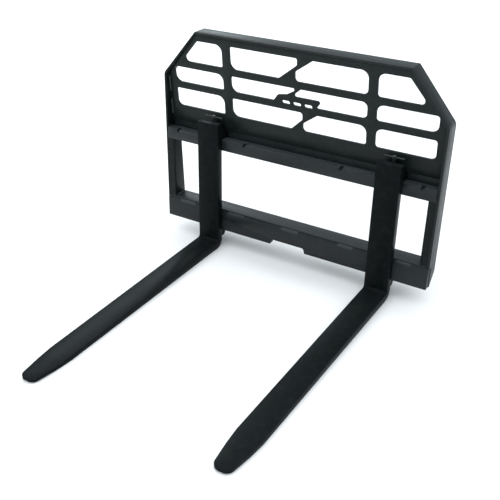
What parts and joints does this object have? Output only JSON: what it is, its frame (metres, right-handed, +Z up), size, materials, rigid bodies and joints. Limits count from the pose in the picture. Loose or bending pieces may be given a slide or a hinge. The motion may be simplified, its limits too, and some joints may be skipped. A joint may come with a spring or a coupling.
{
  "type": "pallet fork attachment",
  "caption": "Pallet fork attachment: a leaning cut-plate headboard in a flat-bar rim over two carriage bars, with sliding forks that lock in notches and a loader quick-attach behind.",
  "frame": {"origin": "on the ground line (blade undersides), at the middle of the frame's width, in the front plane of the two carriage bars", "axes": "+X along the bars to the operator's left, the right of someone who faces the headboard from the blade tips; +Y back towards the loader; +Z up; the blades point along -Y"},
  "size_m": [1.184, 1.269, 0.897],
  "materials": {
    "frame_paint": "semi-gloss black paint",
    "fork_paint": "semi-gloss black paint over forged steel",
    "lock_paint": "worn black paint"
  },
  "bodies": {
    "frame": {"headboard": "frame_paint", "rim_top": "frame_paint", "rim_left": "frame_paint", "rim_right": "frame_paint", "upper_bar": "frame_paint", "lower_bar": "frame_paint", "shelf_plate": "frame_paint", "post_left": "frame_paint", "post_right": "frame_paint", "attach_top": "frame_paint", "attach_bottom": "frame_paint"},
    "left_fork": {"fork_left": "fork_paint", "top_hook_left": "fork_paint", "bottom_hook_left": "fork_paint"},
    "right_fork": {"fork_right": "fork_paint", "top_hook_right": "fork_paint", "bottom_hook_right": "fork_paint"},
    "left_lock": {"lock_pin_left": "lock_paint", "lock_handle_left": "lock_paint"},
    "right_lock": {"lock_pin_right": "lock_paint", "lock_handle_right": "lock_paint"}
  },
  "joints": [
    {"name": "slide_left", "type": "slide", "parent": "frame", "child": "left_fork", "axis": [1, 0, 0], "range_m": [-0.167, 0.151]},
    {"name": "slide_right", "type": "slide", "parent": "frame", "child": "right_fork", "axis": [1, 0, 0], "range_m": [-0.196, 0.122]},
    {"name": "lock_left", "type": "slide", "parent": "left_fork", "child": "left_lock", "axis": [0, 0, 1], "range_m": [-0.011, 0]},
    {"name": "lock_right", "type": "slide", "parent": "right_fork", "child": "right_lock", "axis": [0, 0, 1], "range_m": [-0.011, 0]}
  ]
}
